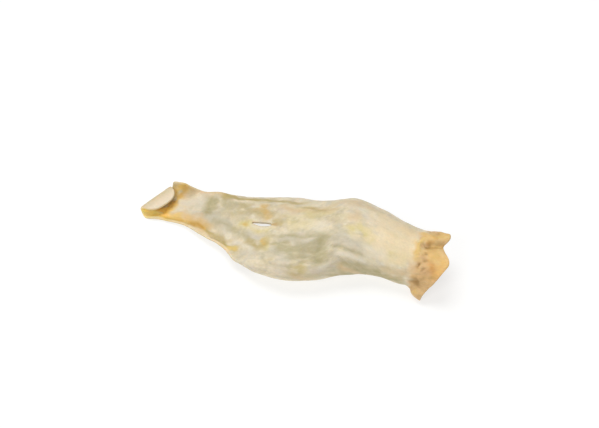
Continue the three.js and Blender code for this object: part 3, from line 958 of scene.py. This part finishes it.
def skin_heights(x, v, middle, flat):
    """How far the skin stands out of the plain leaf at each point, in millimetres."""
    height = -valleys(x, v, middle)
    quiet = mix(QUIET_TIP["least"], 1, smooth(QUIET_TIP["from"], QUIET_TIP["to"], x))
    for layer in UNEVEN:
        sizes = (layer["along"], layer["across"], layer["across"])
        height += layer["height"] * quiet * waves(middle, sizes, layer["seed"])
    for rise, half, line in RELIEF:
        height += rise * bell(distance_to(line, flat), half)
    for rise, half, place in PITS:
        gap = np.linalg.norm(flat - over_skin(*np.array(place)), axis=1)
        height += rise * bell(gap, half)
    return height + bare_share(x, v, flat) * crumpled(middle)


def bare_share(x, v, flat):
    """1 on the bare base, 0 on the skin."""
    ragged = SKIN_END_RAGGED * waves(flat, RAGGED_SIZES, RAGGED_SEED)
    edge_x = along(SKIN_END, "edge", v, key="v") + ragged
    return smooth(edge_x - SKIN_END_SOFT, edge_x + SKIN_END_SOFT, x)


def relieved(points, x, v, inner, core):
    """The points moved by the relief of the skin, the waves of the margins and the torn core."""
    middle = leaf(x, v)
    flat = strayed(over_skin(x, v))
    height = skin_heights(x, v, middle, flat)
    height *= (1 - core) * (1 - inner * closed_share(x))
    wave = MARGIN_WAVE["height"] * waves(middle, (MARGIN_WAVE["size"],) * 3, MARGIN_WAVE["seed"])
    wave *= smooth(MARGIN_WAVE["from"], 1, np.abs(v)) * (1 - closed_share(x)) * np.sign(v)
    moved = points + outwards(x, v) * height[:, None] + crosswise(x, v) * wave[:, None]
    moved[:, 0] += PEAK["reach"] * bell(x - PEAK["x"], PEAK["half"]) * smooth(PEAK["from"], 1, v)
    torn = smooth(0, TORN["from"], core) * (1 - smooth(TORN["to"], 1, core))
    moved[:, 0] += TORN["by"] * torn * crumpled(points)
    return moved


def stain_and_shading_shares(flat, inner):
    """The strength of each stain and each patch of painted shade and light at each point of the mesh."""
    ragged = np.maximum(1 + RAGGED * waves(flat, RAGGED_SIZES, RAGGED_SEED), RAGGED_LEAST)
    shares = {}
    for name, lines in STAINS_AND_PAINTED_SHADING.items():
        total = np.zeros(len(flat))
        for half, strength, line in lines:
            total = np.maximum(total, strength * bell(distance_to(line, flat), half * ragged))
        shares[name] = total * (1 - inner)
    return shares


def skin_fields(x, v, inner, core):
    """What the material reads at each point of the mesh."""
    middle = leaf(x, v)
    flat = strayed(over_skin(x, v))
    fields = stain_and_shading_shares(flat, inner)
    fields["bare"] = bare_share(x, v, flat)
    # The depth of the fine wrinkles, which the material turns into painted shade in their valleys
    fields["valley"] = valleys(x, v, middle)
    # The height of the crumpled flesh, which the material turns into painted shade in its hollows
    fields["crumple"] = crumpled(middle)
    fields["inner"] = inner
    fields["core"] = core
    fields["flap"] = inner * (1 - smooth(*FLAP_FADE, x))
    fields["rim"] = np.clip(RIM_FULL - RIM_FALL * np.abs(inner - 0.5), 0, 1) * (1 - closed_share(x))
    return fields


def make_ear(box):
    """The ear as one object, where the CAD part is: the plain ear's box is centred on the part's."""
    mesh = ear_mesh()
    data = mesh.data()
    points = data[:, :3]
    x, v, inner, core = data[:, 3:].T
    low_z = REST_CUT - LEAF_THICK / 2
    points[:, 2] = np.maximum(points[:, 2], low_z)
    lowest = points.min(0)
    highest = points.max(0)
    moved = relieved(points, x, v, inner, core)
    moved[:, 2] = np.maximum(moved[:, 2], low_z)
    lo, hi = (np.array(corner) / MM for corner in box)
    shift = (lo + hi) / 2 - (lowest + highest) / 2
    shift[2] = lo[2] - low_z

    shape = bpy.data.meshes.new("ear_skin")
    faces = np.concatenate(mesh.quads).tolist() + np.array(mesh.triangles).tolist()
    shape.from_pydata(((moved + shift) * MM).tolist(), [], faces)
    for name, values in skin_fields(x, v, inner, core).items():
        field = shape.attributes.new(name, "FLOAT", "POINT")
        field.data.foreach_set("value", values.astype(np.float32))
    third = inner * FACE_STEP["inner"] + core * FACE_STEP["core"]
    places = np.column_stack([over_skin(x, v), third]).astype(np.float32)
    field = shape.attributes.new("skin_place", "FLOAT_VECTOR", "POINT")
    field.data.foreach_set("vector", places.ravel())
    shape.update()
    shape.shade_smooth()
    ear = bpy.data.objects.new("ear_leaf", shape)
    bpy.context.scene.collection.objects.link(ear)
    return ear


def paint(name):
    """A named colour, as the light that the renderer works with."""
    display = Color([value / DISPLAY_WHITE for value in COLORS[name]])
    return (*display.from_srgb_to_scene_linear(), 1)


class Nodes:
    """Adds nodes to a material and joins them up."""

    def __init__(self, material):
        material.use_nodes = True
        self.tree = material.node_tree
        self.tree.nodes.clear()

    def add(self, kind, inputs, **settings):
        """A new node with its inputs and settings."""
        node = self.tree.nodes.new(kind)
        for name, value in settings.items():
            setattr(node, name, value)
        for name, value in inputs.items():
            self.join(value, node.inputs[name])
        return node

    def join(self, value, socket):
        """Gives a socket its value, or links it to another node's output."""
        if isinstance(value, bpy.types.NodeSocket):
            self.tree.links.new(value, socket)
        else:
            socket.default_value = value

    def field(self, name, output="Fac"):
        """One of the fields of the mesh."""
        return self.add("ShaderNodeAttribute", {}, attribute_name=name).outputs[output]

    def math(self, operation, a, b):
        """Two values put together by an operation."""
        return self.add("ShaderNodeMath", {0: a, 1: b}, operation=operation).outputs[0]

    def fit(self, value, start, end, low, high):
        """A value brought from start and end to low and high, and no further."""
        inputs = {"Value": value, "From Min": start, "From Max": end, "To Min": low, "To Max": high}
        return self.add("ShaderNodeMapRange", inputs).outputs["Result"]

    def noise(self, place, size, detail=3, rough=0.5, seed=0):
        """Noise between 0 and 1, with bumps of about the given size, different for each seed."""
        inputs = {"Vector": place, "W": seed * SEED_STEP, "Scale": 1 / size, "Detail": detail}
        inputs["Roughness"] = rough
        return self.add("ShaderNodeTexNoise", inputs, noise_dimensions="4D").outputs["Fac"]

    def blend(self, a, b, share):
        """The colour between a and b at a share of the way."""
        node = self.add("ShaderNodeMix", {}, data_type="RGBA")
        colors = [s for s in node.inputs if s.type == "RGBA"]
        for value, socket in zip((share, a, b), (node.inputs[0], *colors)):
            self.join(value, socket)
        return [s for s in node.outputs if s.type == "RGBA"][0]


def base_color(nodes, medium):
    """The colour of the bare base: mottled flesh, with painted shade in its hollows, and golden on its
    humps.
    """
    crumple = nodes.field("crumple")
    color = nodes.blend(paint("base"), paint("flesh"), nodes.fit(medium, *FITS["flesh"]))
    # Painted shade in the hollows of the crumpled flesh
    color = nodes.blend(color, paint("painted_shade"), nodes.fit(crumple, *FITS["hollow"]))
    return nodes.blend(color, paint("gold"), nodes.fit(crumple, *FITS["hump"]))


def skin_color(nodes, place, medium):
    """The colour of the whole ear: mottled cream, each face's own colour, painted shade in the wrinkles,
    the base, and the stains with painted shade and light among them.
    """
    color = paint("cream")
    for seed, (name, size, start, end, most) in enumerate(PATCHES):
        share = nodes.fit(nodes.noise(place, size, seed=seed), start, end, 0, most)
        color = nodes.blend(color, paint(name), share)
    for name, most in (("inner", INNER_SHARE), ("flap", FLAP_SHARE)):
        color = nodes.blend(color, paint(name), nodes.math("MULTIPLY", nodes.field(name), most))
    color = nodes.blend(color, paint("rim"), nodes.field("rim"))
    # Painted shade in the valleys of the fine wrinkles
    color = nodes.blend(color, paint("sage_and_shade"), nodes.fit(nodes.field("valley"), *FITS["valley"]))
    color = nodes.blend(color, base_color(nodes, medium), nodes.field("bare"))
    patchy = nodes.fit(medium, *FITS["patchy"])
    # The stains, and the patches of painted shade, shadow, highlight and light among them
    for name in STAINS_AND_PAINTED_SHADING:
        color = nodes.blend(color, paint(name), nodes.math("MULTIPLY", nodes.field(name), patchy))
    return nodes.blend(color, paint("core"), nodes.fit(nodes.field("core"), *FITS["core"]))


def skin_material():
    """Dried skin with its colours, a fine grain and a soft gloss."""
    material = bpy.data.materials.new("dried_skin")
    nodes = Nodes(material)
    place = nodes.field("skin_place", "Vector")
    stretch = nodes.add("ShaderNodeVectorMath", {0: place, 1: GRAIN_STRETCH}, operation="MULTIPLY")
    medium = nodes.noise(stretch.outputs[0], **MEDIUM_GRAIN)
    fine = nodes.noise(stretch.outputs[0], **FINE_GRAIN)
    color = skin_color(nodes, place, medium)
    shade = nodes.fit(fine, *FITS["shade"])
    shaded = nodes.add("ShaderNodeVectorMath", {0: color, 1: shade}, operation="MULTIPLY")

    fine_height = nodes.math("MULTIPLY", fine, FINE_BUMP)
    medium_height = nodes.math("MULTIPLY", medium, MEDIUM_BUMP)
    bump = nodes.add("ShaderNodeBump", {"Height": nodes.math("ADD", fine_height, medium_height), **BUMP})
    inputs = {
        "Base Color": shaded.outputs[0],
        "Roughness": nodes.fit(medium, *FITS["gloss"]),
        "Normal": bump.outputs["Normal"],
    }
    shader = nodes.add("ShaderNodeBsdfPrincipled", {**inputs, **SKIN})
    nodes.add("ShaderNodeOutputMaterial", {"Surface": shader.outputs[0]})
    return material


def make_floor():
    """A plain pale floor that glows a little, just under the ear."""
    material = bpy.data.materials.new("pale_floor")
    nodes = Nodes(material)
    inputs = {
        "Base Color": (FLOOR_SHARE, FLOOR_SHARE, FLOOR_SHARE, 1),
        "Roughness": FLOOR_ROUGH,
        "Emission Color": paint("floor"),
        "Emission Strength": FLOOR_GLOW,
    }
    shader = nodes.add("ShaderNodeBsdfPrincipled", inputs)
    nodes.add("ShaderNodeOutputMaterial", {"Surface": shader.outputs[0]})
    mesh = bpy.data.meshes.new("floor")
    corners = [(x * FLOOR_HALF, y * FLOOR_HALF, 0) for x, y in ((-1, -1), (1, -1), (1, 1), (-1, 1))]
    mesh.from_pydata(corners, [], [(0, 1, 2, 3)])
    mesh.materials.append(material)
    floor = bpy.data.objects.new("floor", mesh)
    floor.location.z = -FLOOR_DROP
    bpy.context.scene.collection.objects.link(floor)


def aim(thing, place, target):
    """Puts a light or the camera at a place, facing a target."""
    thing.location = place
    thing.rotation_euler = (Vector(target) - Vector(place)).to_track_quat("-Z", "Y").to_euler()
    bpy.context.scene.collection.objects.link(thing)


def make_light(name, place, size, power):
    """A round soft light that faces the ear."""
    data = bpy.data.lights.new(name, "AREA")
    data.shape = "DISK"
    data.size = size
    data.energy = power
    aim(bpy.data.objects.new(name, data), place, (0, 0, 0))


def make_camera():
    """The camera, at the photograph's angle and with its framing."""
    data = bpy.data.cameras.new("camera")
    data.sensor_width = SENSOR
    data.lens = LENS
    data.shift_x = (FRAME_WIDE / 2 - TARGET_PIXEL[0]) / FRAME_WIDE
    data.shift_y = (TARGET_PIXEL[1] - FRAME_HIGH / 2) / FRAME_WIDE
    data.clip_start = CAMERA_CLIP
    target = Vector(CAMERA_TARGET) * MM
    level = np.cos(CAMERA_ELEVATION)
    across = np.sin(CAMERA_AZIMUTH) * level
    before = -np.cos(CAMERA_AZIMUTH) * level
    away = Vector((across, before, np.sin(CAMERA_ELEVATION)))
    camera = bpy.data.objects.new("camera", data)
    aim(camera, target + away * CAMERA_DISTANCE * MM, target)
    bpy.context.scene.camera = camera


def make_stage():
    """The floor, the sky, the lights and the camera."""
    make_floor()
    world = bpy.data.worlds.new("studio")
    world.use_nodes = True
    sky = world.node_tree.nodes["Background"]
    sky.inputs["Color"].default_value = (1, 1, 1, 1)
    sky.inputs["Strength"].default_value = SKY
    bpy.context.scene.world = world
    bpy.context.scene.view_settings.view_transform = "Standard"
    for name, place, size, power in LIGHTS:
        make_light(name, place, size, power)
    make_camera()


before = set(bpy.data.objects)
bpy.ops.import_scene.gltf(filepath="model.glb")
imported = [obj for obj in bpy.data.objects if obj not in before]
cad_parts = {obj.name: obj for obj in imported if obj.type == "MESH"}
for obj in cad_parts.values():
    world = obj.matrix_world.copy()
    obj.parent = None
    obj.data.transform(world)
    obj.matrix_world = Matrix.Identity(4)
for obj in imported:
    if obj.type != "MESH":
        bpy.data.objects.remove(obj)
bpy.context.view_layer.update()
ear = make_ear(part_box("ear"))
ear.data.materials.append(skin_material())
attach(ear, "root")
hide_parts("ear")
make_stage()
